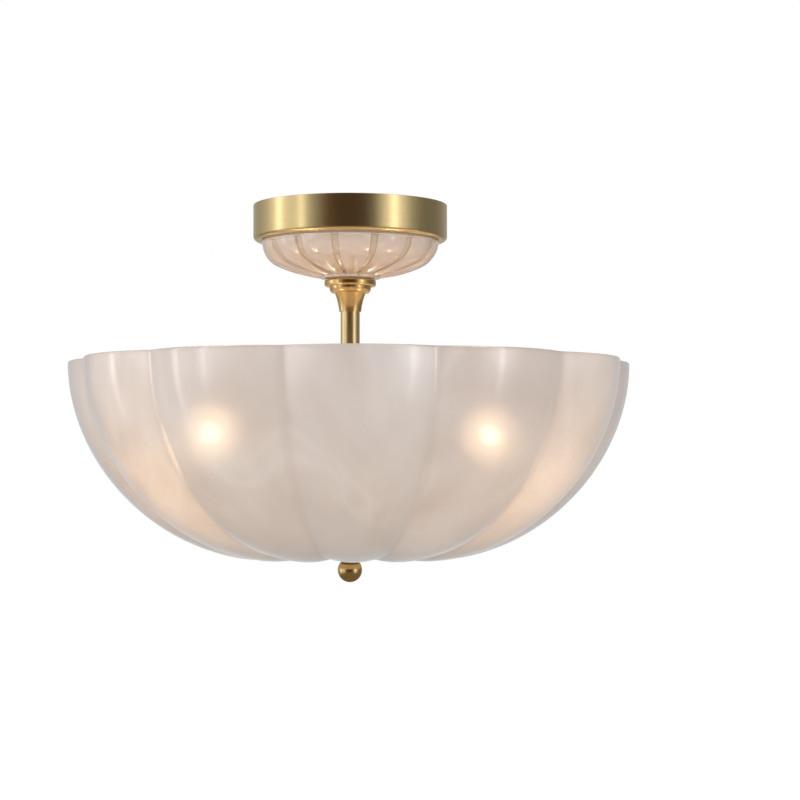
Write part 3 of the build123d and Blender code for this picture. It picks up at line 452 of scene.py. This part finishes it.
class Finish:
    """One material being made: its node tree, its surface shader and the object's own coordinates."""

    def __init__(self, name, **values):
        self.material = bpy.data.materials.new(name)
        self.material.use_nodes = True
        self.tree = self.material.node_tree
        self.shader = self.tree.nodes["Principled BSDF"]
        self.place = self.tree.nodes.new("ShaderNodeTexCoord").outputs["Object"]
        self.set(self.shader, values)

    def set(self, node, values):
        """Sets sockets by name, with _ for a space."""
        for key, value in values.items():
            if isinstance(value, tuple) and len(value) == 3 and key not in ("Scale", "Rotation"):
                value = (*value, 1.0)
            node.inputs[key.replace("_", " ")].default_value = value

    def add(self, kind, **values):
        """A new node with its sockets set."""
        node = self.tree.nodes.new(kind)
        self.set(node, values)
        return node

    def link(self, output, target, socket=None):
        """Links an output to the surface shader's socket, or to another node's."""
        node = self.shader if socket is None else target
        self.tree.links.new(output, node.inputs[target if socket is None else socket])

    def attribute(self, name):
        """A number stored on the piece's vertices."""
        node = self.tree.nodes.new("ShaderNodeAttribute")
        node.attribute_name = name
        return node.outputs["Fac"]

    def noise(self, scale, stretch=(1, 1, 1), turned=(0, 0, 0), **values):
        """Noise over the object, finer along the axes that are stretched more."""
        mapping = self.add("ShaderNodeMapping", Scale=stretch, Rotation=turned)
        self.link(self.place, mapping, "Vector")
        noise = self.add("ShaderNodeTexNoise", Scale=scale, **values)
        self.link(mapping.outputs[0], noise, "Vector")
        return noise.outputs["Fac"]

    def ramp(self, factor, *stops):
        """Colour or grey picked by a factor between stops of (place, value)."""
        return colour_ramp(self.tree, factor, stops)

    def mix(self, factor, first, second):
        """Two colours mixed by a factor, each an output or a fixed value."""
        node = self.tree.nodes.new("ShaderNodeMix")
        node.data_type = "RGBA"
        for socket, value in ((0, factor), (6, first), (7, second)):
            if isinstance(value, bpy.types.NodeSocket):
                self.tree.links.new(value, node.inputs[socket])
            else:
                node.inputs[socket].default_value = value if socket == 0 else (*value, 1.0)
        return node.outputs[2]

    def calculate(self, operation, first, second):
        """The result of one operation on two numbers, each an output or a fixed value."""
        return combined(self.tree, operation, first, second)

    def bump(self, height, strength, distance):
        """Relief of the surface under its coat: distance is its depth in metres where the height is 1."""
        node = self.add("ShaderNodeBump", Strength=strength, Distance=distance)
        self.link(height, node, "Height")
        self.link(node.outputs[0], "Normal")


def cloudy_glass(bowl):
    """Satin glass with soft clouds, pale veins, painted shade in the grooves and the bulbs' light in it.

    Wisps and drawn streaks brighten the light. The skin is smoother where the light is strong, and less
    so on the wisps.
    """
    finish = Finish("cloudy_glass", IOR=1.42, Coat_Weight=1.0, Coat_Roughness=0.12, Coat_IOR=1.75,
                    Sheen_Weight=0.9, Sheen_Roughness=0.35, Sheen_Tint=(0.90, 0.94, 1.0))
    clouds = finish.noise(8.0, Detail=2.0, Roughness=0.5, Distortion=0.4)
    wisps = finish.noise(13.0, (1.0, 1.0, 0.4), (0.5, 0.3, 0.0), Detail=2.5, Roughness=0.5, Distortion=0.9)
    streaks = finish.noise(30.0, (1.5, 1.5, 0.35), (0.3, 0.9, 0.0),
                           Detail=3.0, Roughness=0.6, Distortion=1.5)
    scratches = finish.noise(120.0, (0.22, 0.22, 1.6), (0.9, 0.4, 0.3), Detail=3.0, Roughness=0.7)
    body = finish.ramp(clouds, (0.32, tuple(bowl.deep)), (0.66, tuple(bowl.pale)))
    veins = finish.ramp(wisps, (0.44, 0.0), (0.56, 0.45), (0.70, 0.0))
    body = finish.mix(veins, body, VEIN_WHITE)
    # Painted shade: the base colour darkens towards the bottom of each groove, where the fold weight nears
    # 1.
    fold = finish.ramp(finish.attribute("fold"), (0.82, 0.0), (1.0, 0.22))
    finish.link(finish.mix(fold, body, PAINTED_GROOVE_SHADE), "Base Color")
    glow = finish.attribute("glow")
    drawn = finish.ramp(streaks, (0.50, 0.0), (0.60, 1.0), (0.68, 0.0))
    milky = finish.ramp(finish.calculate("ADD", wisps, finish.calculate("MULTIPLY", drawn, 0.25)),
                        (0.30, 0.80), (0.80, 1.0))
    light = finish.calculate("MULTIPLY", glow, milky)
    warm = tuple(bowl.glow)
    weak = tuple(GLOW_HALFWAY * part for part in warm)
    finish.link(finish.ramp(light, (0.0, (0.0, 0.0, 0.0)), (0.4, weak), (1.0, warm)), "Emission Color")
    finish.shader.inputs["Emission Strength"].default_value = GLOW_STRENGTH
    thin = finish.calculate("MULTIPLY", glow, finish.ramp(wisps, (0.35, 1.0), (0.65, 0.4)))
    finish.link(finish.ramp(thin, (0.10, 0.26), (0.45, 0.19), (1.0, 0.12)), "Roughness")
    finish.link(finish.ramp(clouds, (0.35, 0.46), (0.65, 0.32)), "Transmission Weight")
    relief = finish.calculate("ADD", finish.calculate("MULTIPLY", clouds, 1.5), scratches)
    finish.bump(relief, 0.12, 0.0003)
    return finish.material


def ribbed_glass(dish):
    """Glossy milky glass, thinner in its channels, where the brass behind is painted in as a golden tone.
    """
    finish = Finish("ribbed_glass", IOR=1.5, Roughness=0.22,
                    Coat_Weight=1.0, Coat_Roughness=0.03, Coat_IOR=1.6)
    clouds = finish.noise(38.0, Detail=4.0, Roughness=0.55, Distortion=0.8)
    pale = tuple(dish.pale)
    milk = finish.ramp(clouds, (0.3, tuple(0.9 * part for part in pale)), (0.7, pale))
    # Painted see-through: the channels take the golden colour of the brass behind the glass.
    depth = finish.ramp(finish.attribute("channel"), (0.68, 0.0), (0.80, 0.8), (0.93, 0.8), (1.0, 0.35))
    finish.link(finish.mix(depth, milk, tuple(dish.channel)), "Base Color")
    finish.bump(finish.noise(60.0, Detail=2.0), 0.2, 0.0002)
    return finish.material


def brass(name, shade, roughness, lines):
    """Lathe-brushed brass under lacquer: fine lines round the axis and faint uneven tone."""
    finish = Finish(name, Metallic=1.0, Coat_Weight=0.1, Coat_Roughness=0.12)
    brushed = finish.noise(4.0, (1.0, 1.0, lines), Detail=3.0, Roughness=0.7)
    tone = finish.noise(26.0, Detail=3.0, Roughness=0.6)
    dull = tuple(0.93 * part for part in shade)
    finish.link(finish.mix(finish.ramp(tone, (0.3, 0.0), (0.7, 1.0)), dull, shade), "Base Color")
    finish.link(finish.ramp(brushed, (0.3, roughness * 0.95), (0.7, roughness * 1.05)), "Roughness")
    finish.bump(brushed, 0.04, 0.00002)
    return finish.material


def plain_finish(name, shade, scale=60.0, depth=0.00005, spread=0.9, **values):
    """A solid finish with faint uneven tone and relief, for pieces that sit inside."""
    finish = Finish(name, **values)
    grain = finish.noise(scale, Detail=4.0, Roughness=0.6)
    dull = tuple(spread * part for part in shade)
    finish.link(finish.ramp(grain, (0.3, dull), (0.7, shade)), "Base Color")
    finish.bump(grain, 0.3, depth)
    return finish.material


def opal_globe(strength):
    """Opal globe of a lit bulb: a bright core where it faces the viewer, warm and dim at its edge."""
    finish = Finish("opal_globe", Roughness=0.25, Emission_Strength=strength)
    grain = finish.noise(30.0, Detail=2.0)
    finish.link(finish.ramp(grain, (0.2, (0.74, 0.71, 0.66)), (0.8, (0.80, 0.78, 0.73))), "Base Color")
    facing = finish.add("ShaderNodeLayerWeight", Blend=0.5).outputs["Facing"]
    shades = finish.ramp(
        facing, (0.0, (1.0, 0.90, 0.70)), (0.008, (0.60, 0.49, 0.33)), (0.035, (0.12, 0.09, 0.056)),
        (0.4, (0.062, 0.043, 0.025)), (0.7, (0.038, 0.026, 0.015)), (1.0, (0.003, 0.002, 0.001)))
    finish.link(shades, "Emission Color")
    return finish.material


def make_finishes(settings):
    """Every finish, by the name of its material slot."""
    metal = settings.brass
    satin, polished = tuple(metal.satin), tuple(metal.polished)
    return {
        "cloudy_glass": cloudy_glass(settings.bowl),
        "ribbed_glass": ribbed_glass(settings.dish),
        "satin_brass": brass("satin_brass", satin, 0.25, 160.0),
        "smooth_brass": brass("smooth_brass", satin, 0.29, 160.0),
        "polished_brass": brass("polished_brass", polished, 0.22, 260.0),
        "thread_brass": brass("thread_brass", (0.75, 0.60, 0.34), 0.35, 500.0),
        "cap_nickel": brass("cap_nickel", (0.68, 0.66, 0.62), 0.28, 400.0),
        "zinc_steel": plain_finish("zinc_steel", (0.62, 0.63, 0.65), 90.0, Metallic=1.0, Roughness=0.36),
        "nylon": plain_finish("nylon", (0.80, 0.78, 0.71), 120.0, Roughness=0.5),
        "brown_lead": plain_finish("brown_lead", (0.16, 0.06, 0.03), Roughness=0.32),
        "blue_lead": plain_finish("blue_lead", (0.03, 0.12, 0.42), Roughness=0.32),
        "earth_lead": earth_lead(),
        "white_lead": plain_finish("white_lead", (0.78, 0.76, 0.70), Roughness=0.4),
        "gasket_rubber": plain_finish("gasket_rubber", (0.66, 0.64, 0.60), 150.0, Roughness=0.6),
        "fibre": plain_finish("fibre", (0.55, 0.45, 0.32), 400.0, depth=0.0001, spread=0.7, Roughness=0.85),
        "holder_ceramic": plain_finish("holder_ceramic", (0.84, 0.82, 0.76), 300.0, Roughness=0.55),
        "bulb_plastic": plain_finish("bulb_plastic", (0.85, 0.85, 0.82), Roughness=0.3),
        "opal_globe": opal_globe(settings.stage.bulb),
        "light_board": plain_finish("light_board", (0.86, 0.85, 0.76), 200.0, Roughness=0.5),
    }


def earth_lead():
    """Green insulation with yellow stripes along the lead."""
    finish = Finish("earth_lead", Roughness=0.32)
    stripes = finish.tree.nodes.new("ShaderNodeTexWave")
    stripes.inputs["Scale"].default_value = 160.0
    finish.link(finish.place, stripes, "Vector")
    shades = finish.ramp(stripes.outputs["Fac"], (0.46, (0.03, 0.26, 0.05)), (0.54, (0.75, 0.62, 0.03)))
    finish.link(shades, "Base Color")
    return finish.material


def finish_of(slot):
    """The finish of a slot, made on its first use."""
    made = bpy.data.materials.get(slot + "_finish")
    if made:
        return made
    for name, material in make_finishes(bpy.context.scene.ceiling_light).items():
        material.name = name + "_finish"
    return bpy.data.materials[slot + "_finish"]


def write_attribute(piece, name, values):
    """Stores one number for each vertex of a piece."""
    attribute = piece.data.attributes.new(name, "FLOAT", "POINT")
    attribute.data.foreach_set("value", np.ascontiguousarray(values, dtype=np.float32))


def bulb_light(piece):
    """Light of the bulbs on each vertex: the facing share over the squared distance, summed, 1 at most."""
    count = len(piece.data.vertices)
    points, normals = np.empty(count * 3), np.empty(count * 3)
    piece.data.vertices.foreach_get("co", points)
    piece.data.vertices.foreach_get("normal", normals)
    bulbs = np.array([(NODE_BOX[node][0] + NODE_BOX[node][1]) / 2 for node in BULBS])
    way = points.reshape(-1, 1, 3) - bulbs[None]
    distance = np.linalg.norm(way, axis=2)
    facing = np.abs((way * normals.reshape(-1, 1, 3)).sum(2)) / distance
    light = (facing / distance**2).sum(1)
    return light / light.max()


class MakeBowl(bpy.types.Operator):
    """Make the lobed glass bowl"""

    bl_idname = "ceiling_light.bowl"
    bl_label = "Glass Bowl"

    def execute(self, context):
        bowl = context.scene.ceiling_light.bowl
        material = finish_of("cloudy_glass")
        grid, fold = bowl_grid(bowl)
        piece = make_piece("bowl_glass", grid, material, "bowl", ["bowl"])
        write_attribute(piece, "glow", bulb_light(piece))
        # The fold weight, 1 at a groove, places the painted groove shade.
        write_attribute(piece, "fold", np.tile(fold, bowl.lobes * grid.shape[0]))
        return {"FINISHED"}


class MakeDish(bpy.types.Operator):
    """Make the ribbed glass dish under the canopy"""

    bl_idname = "ceiling_light.dish"
    bl_label = "Ribbed Dish"

    def execute(self, context):
        dish = context.scene.ceiling_light.dish
        grid, depth = dish_grid(dish)
        material = finish_of("ribbed_glass")
        piece = make_piece("dish_glass", grid, material, "canopy", ["canopy_glass"])
        write_attribute(piece, "channel", np.tile(depth, dish.lobes * grid.shape[0]))
        return {"FINISHED"}


class MakeCanopyBand(bpy.types.Operator):
    """Make the brushed brass canopy band"""

    bl_idname = "ceiling_light.canopy_band"
    bl_label = "Canopy Band"

    def execute(self, context):
        radius, low = radius_of("canopy_pan"), low_of("canopy_pan")
        inside, floor = radius - PAN_WALL, low + PAN_WALL
        outline = rounded_outline([
            (radius, 0.0, CRISP), (radius, low, BAND_EDGE), (LIP_BORE, low, CRISP),
            (LIP_BORE, floor, CRISP), (inside, floor, BAND_EDGE - PAN_WALL), (inside, 0.0, CRISP)])
        make_piece("canopy_band", spun(outline, turns=180), finish_of("satin_brass"), "canopy",
                   ["canopy_pan"])
        return {"FINISHED"}


class MakeStem(bpy.types.Operator):
    """Make the collar ring, the turned coupler and the stem"""

    bl_idname = "ceiling_light.stem"
    bl_label = "Collar, Coupler and Stem"

    def execute(self, context):
        polished = finish_of("polished_brass")
        radius, top, low = radius_of("collar_ring"), top_of("collar_ring"), low_of("collar_ring")
        soft = COLLAR_ROUND * (top - low)
        collar = rounded_outline([(radius, top, soft), (radius, low, soft),
                                  (COLLAR_BORE, low, CRISP), (COLLAR_BORE, top, CRISP)])
        make_piece("collar", spun(collar), polished, "collar", ["collar_ring"])
        make_piece("coupler", spun(coupler_outline()), polished, "fixed_frame",
                   ["stem_coupler"])
        tube, bore = radius_of("stem_tube"), radius_of("stem_tube") - STEM_WALL
        top, low = top_of("stem_tube"), low_of("stem_tube")
        stem = rounded_outline([(tube, top, CRISP), (tube, low, CRISP), (bore, low, CRISP),
                                (bore, top, CRISP)])
        make_piece("stem", spun(stem, turns=96), finish_of("smooth_brass"), "fixed_frame",
                   ["stem_tube"])
        return {"FINISHED"}


def coupler_outline(rows=9):
    """Turned outline of the coupler: head, quarter-round step, hollow cone and the bores inside.

    The step is a quarter of an ellipse. The cone is hollowed by a parabola, CONE_HOLLOW deep halfway down.
    """
    head, top, low = radius_of("stem_coupler"), top_of("stem_coupler"), low_of("stem_coupler")
    collar_low = low_of("collar_ring")
    step_foot = collar_low - STEP_HEIGHT
    t = np.linspace(0, 1, rows)[:, None]
    turn = t * math.pi / 2
    step = np.concatenate([STEP_LOW + (STEP_TOP - STEP_LOW) * np.cos(turn),
                           collar_low + (step_foot - collar_low) * np.sin(turn)], axis=1)
    cone = np.concatenate([CONE_TOP + (CONE_LOW - CONE_TOP) * t - 4 * CONE_HOLLOW * t * (1 - t),
                           step_foot + (low - step_foot) * t], axis=1)
    stem_top, nipple_low = top_of("stem_tube"), step_foot + NIPPLE_STOP
    upper = [(TUBE_HOLE, top), (head - HEAD_EDGE, top), (head, top - HEAD_EDGE), (head, collar_low)]
    lower = [(STEM_HOLE, low), (STEM_HOLE, stem_top), (LEAD_HOLE, stem_top), (LEAD_HOLE, nipple_low),
             (TUBE_HOLE, nipple_low)]
    return np.concatenate([upper, step, cone, lower])


class MakeFinial(bpy.types.Operator):
    """Make the brass ball under the bowl"""

    bl_idname = "ceiling_light.finial"
    bl_label = "Finial Ball"

    def execute(self, context):
        radius, low, top = radius_of("ball_finial"), low_of("ball_finial"), top_of("ball_finial")
        centre, floor = low + radius, top - BALL_HOLE_DEPTH
        t = np.linspace(math.asin(NECK_RADIUS / radius), math.pi, BALL_ROWS)[:, None]
        ball = np.concatenate([radius * np.sin(t), centre + radius * np.cos(t)], axis=1)
        neck_low = max(top - NECK_HEIGHT, ball[0, 1])
        upper = [(0.0, floor), (TUBE_HOLE, floor), (TUBE_HOLE, top - CRISP), (TUBE_HOLE + CRISP, top),
                 (NECK_RADIUS - TURNED_EDGE, top), (NECK_RADIUS, top - TURNED_EDGE),
                 (NECK_RADIUS, neck_low + CRISP)]
        outline = np.concatenate([upper, ball])
        outline[-1, 0] = 0.0
        make_piece("finial", spun(outline, turns=96), finish_of("polished_brass"), "finial",
                   ["ball_finial"], closed=False)
        return {"FINISHED"}


class FinishInnerPieces(bpy.types.Operator):
    """Give every CAD node that stays its finish"""

    bl_idname = "ceiling_light.inner_pieces"
    bl_label = "Inner Pieces"

    def execute(self, context):
        slots = {part["node"]: part["material_slot"] for part in frame["record"]["subparts"]}
        for node, piece in frame["nodes"].items():
            material = finish_of(slots[node])
            if not piece.material_slots:
                piece.data.materials.append(material)
            for slot in piece.material_slots:
                slot.material = material
        return {"FINISHED"}


def box_reflections(tree):
    """Colour that a reflection meets in its direction.

    The soft boxes are bands over the compass angle atan2(x, -y), dark and warm at the front, and they
    fade to an even tone towards the floor.
    """
    new, link = tree.nodes.new, tree.links.new
    parts = new("ShaderNodeSeparateXYZ")
    link(new("ShaderNodeTexCoord").outputs["Generated"], parts.inputs[0])
    compass = combined(tree, "ARCTAN2", parts.outputs["X"],
                       combined(tree, "MULTIPLY", parts.outputs["Y"], -1.0))
    scaled = new("ShaderNodeMapRange")
    scaled.inputs["From Min"].default_value = -math.pi
    scaled.inputs["From Max"].default_value = math.pi
    link(compass, scaled.inputs["Value"])
    stops = []
    for degrees, value in STUDIO_BOXES:
        part = value / STUDIO_PEAK
        warm = DARK_WARMTH if value < DARK_BAND else 1.0
        stops.append(((degrees + 180) / 360, (part, part * warm, part * warm**2)))
    boxes = colour_ramp(tree, scaled.outputs[0], stops)
    fade = new("ShaderNodeMapRange")
    fade.inputs["From Min"].default_value = FADE_START
    fade.inputs["From Max"].default_value = FADE_END
    link(parts.outputs["Z"], fade.inputs["Value"])
    ground = new("ShaderNodeMix")
    ground.data_type = "RGBA"
    ground.inputs[7].default_value = GROUND_TONE
    link(fade.outputs[0], ground.inputs[0])
    link(boxes, ground.inputs[6])
    return ground.outputs[2]


def studio_world(fill):
    """White for the camera and through glass, even light for surfaces, soft boxes for reflections."""
    world = bpy.data.worlds.new("studio")
    world.use_nodes = True
    tree = world.node_tree
    tree.nodes.clear()
    new, link = tree.nodes.new, tree.links.new
    path = new("ShaderNodeLightPath")
    seen, light, mirror = (new("ShaderNodeBackground") for _ in range(3))
    seen.inputs["Color"].default_value = (1.0, 1.0, 1.0, 1.0)
    light.inputs["Color"].default_value = STUDIO_TINT
    light.inputs["Strength"].default_value = fill
    link(box_reflections(tree), mirror.inputs["Color"])
    mirror.inputs["Strength"].default_value = STUDIO_GAIN * STUDIO_PEAK
    clear = combined(tree, "MAXIMUM", path.outputs["Is Camera Ray"], path.outputs["Is Transmission Ray"])
    first, second = new("ShaderNodeMixShader"), new("ShaderNodeMixShader")
    link(path.outputs["Is Glossy Ray"], first.inputs[0])
    link(light.outputs[0], first.inputs[1])
    link(mirror.outputs[0], first.inputs[2])
    link(clear, second.inputs[0])
    link(first.outputs[0], second.inputs[1])
    link(seen.outputs[0], second.inputs[2])
    link(second.outputs[0], new("ShaderNodeOutputWorld").inputs[0])
    bpy.context.scene.world = world


def soft_lamp(name, place, size, watts):
    """Large round lamp that points at the bowl and stays out of reflections."""
    lamp = bpy.data.lights.new(name, "AREA")
    lamp.shape, lamp.size, lamp.energy, lamp.color = "DISK", size, watts, LAMP_SHADE
    source = bpy.data.objects.new(name, lamp)
    source.location = place
    aim = Vector(LAMP_AIM) - Vector(place)
    source.rotation_euler = aim.to_track_quat("-Z", "Y").to_euler()
    source.visible_glossy = False
    source.visible_camera = False
    bpy.context.scene.collection.objects.link(source)


def pale_floor(drop):
    """White floor that keeps the shadow: mostly its own white for the camera, pale paint for the light."""
    material = bpy.data.materials.new("floor_paint")
    material.use_nodes = True
    tree = material.node_tree
    shader = tree.nodes["Principled BSDF"]
    shader.inputs["Base Color"].default_value = FLOOR_PAINT
    shader.inputs["Roughness"].default_value = 0.8
    white = tree.nodes.new("ShaderNodeEmission")
    white.inputs["Strength"].default_value = FLOOR_WHITE
    path = tree.nodes.new("ShaderNodeLightPath")
    white_share = combined(tree, "MULTIPLY", path.outputs["Is Camera Ray"], FLOOR_WHITE_SHARE)
    mixed = tree.nodes.new("ShaderNodeMixShader")
    tree.links.new(white_share, mixed.inputs[0])
    tree.links.new(shader.outputs[0], mixed.inputs[1])
    tree.links.new(white.outputs[0], mixed.inputs[2])
    tree.links.new(mixed.outputs[0], tree.nodes["Material Output"].inputs["Surface"])
    half = FLOOR_HALF
    corners = [(-half, -half, -drop), (half, -half, -drop), (half, half, -drop), (-half, half, -drop)]
    mesh = bpy.data.meshes.new("floor")
    mesh.from_pydata(corners, [], [(0, 1, 2, 3)])
    mesh.materials.append(material)
    floor = bpy.data.objects.new("floor", mesh)
    floor.visible_glossy = False
    bpy.context.scene.collection.objects.link(floor)


class MakeStage(bpy.types.Operator):
    """Make the floor, the light and the camera"""

    bl_idname = "ceiling_light.stage"
    bl_label = "Stage"

    def execute(self, context):
        stage = context.scene.ceiling_light.stage
        scene = context.scene
        scene.view_settings.view_transform = "Standard"
        studio_world(stage.fill)
        pale_floor(stage.floor_drop)
        soft_lamp("lamp_left", (-1.7, -1.3, -0.1), size=1.1, watts=stage.key)
        soft_lamp("lamp_right", (1.8, -1.4, 0.0), size=1.0, watts=stage.key * RIGHT_LAMP_SHARE)
        camera = bpy.data.cameras.new("camera")
        camera.lens, camera.sensor_width = stage.lens, SENSOR_WIDTH
        viewer = bpy.data.objects.new("camera", camera)
        viewer.location = (0.0, -stage.distance, -stage.below)
        viewer.rotation_euler = (math.pi / 2 + stage.pitch, 0.0, -stage.yaw)
        scene.collection.objects.link(viewer)
        scene.camera = viewer
        return {"FINISHED"}


class CeilingLightSettings(bpy.types.PropertyGroup):
    """All settings of the ceiling light."""

    bowl: PointerProperty(type=BowlSettings)
    dish: PointerProperty(type=DishSettings)
    brass: PointerProperty(type=BrassSettings)
    stage: PointerProperty(type=StageSettings)


class CeilingLightPanel(bpy.types.Panel):
    """Sidebar list of the pieces"""

    bl_idname = "VIEW3D_PT_ceiling_light"
    bl_label = "Ceiling Light"
    bl_space_type = "VIEW_3D"
    bl_region_type = "UI"
    bl_category = "Ceiling Light"

    def draw(self, context):
        for maker in MAKERS:
            self.layout.operator(maker.bl_idname)


MAKERS = (MakeBowl, MakeDish, MakeCanopyBand, MakeStem, MakeFinial, FinishInnerPieces, MakeStage)
CLASSES = (BowlSettings, DishSettings, BrassSettings, StageSettings, CeilingLightSettings, *MAKERS,
           CeilingLightPanel)


def register():
    for item in CLASSES:
        bpy.utils.register_class(item)
    bpy.types.Scene.ceiling_light = PointerProperty(type=CeilingLightSettings)


def unregister():
    del bpy.types.Scene.ceiling_light
    for item in reversed(CLASSES):
        bpy.utils.unregister_class(item)


def main():
    register()
    for maker in MAKERS:
        getattr(bpy.ops.ceiling_light, maker.bl_idname.split(".")[1])()


if __name__ == "__main__":
    main()
